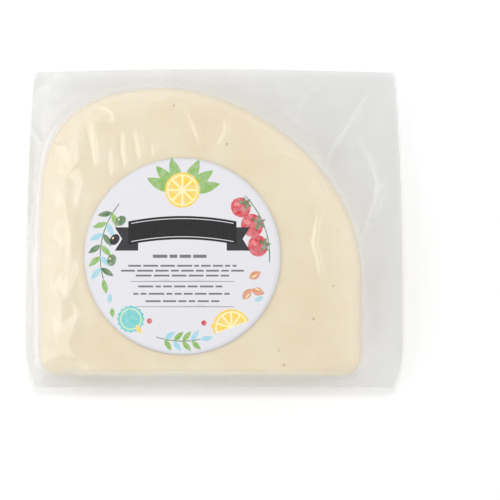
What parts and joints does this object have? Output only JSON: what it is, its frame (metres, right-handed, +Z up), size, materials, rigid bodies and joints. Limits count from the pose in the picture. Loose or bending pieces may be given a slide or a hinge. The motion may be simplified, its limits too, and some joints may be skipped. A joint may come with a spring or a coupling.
{
  "type": "vacuum-packed halloumi block",
  "caption": "Half-round block of halloumi cheese vacuum-packed in a clear sealed pouch with a wide film edge and a round paper label, lying on its back.",
  "frame": {"origin": "middle of the pack's bounding box, on the surface that its flat back rests on", "axes": "+Z up out of the labelled face, +Y up the label away from the straight cut side, +X to the right of the label"},
  "size_m": [0.154, 0.13, 0.0314],
  "materials": {
    "cheese": "smooth pale cream cheese under clear glossy film",
    "film": "clear glossy wrinkled film, slightly milky where two layers lie together",
    "label": "white satin paper with a plain coloured print"
  },
  "bodies": {
    "root": {"pouch": "cheese", "label": "label"}
  },
  "joints": []
}
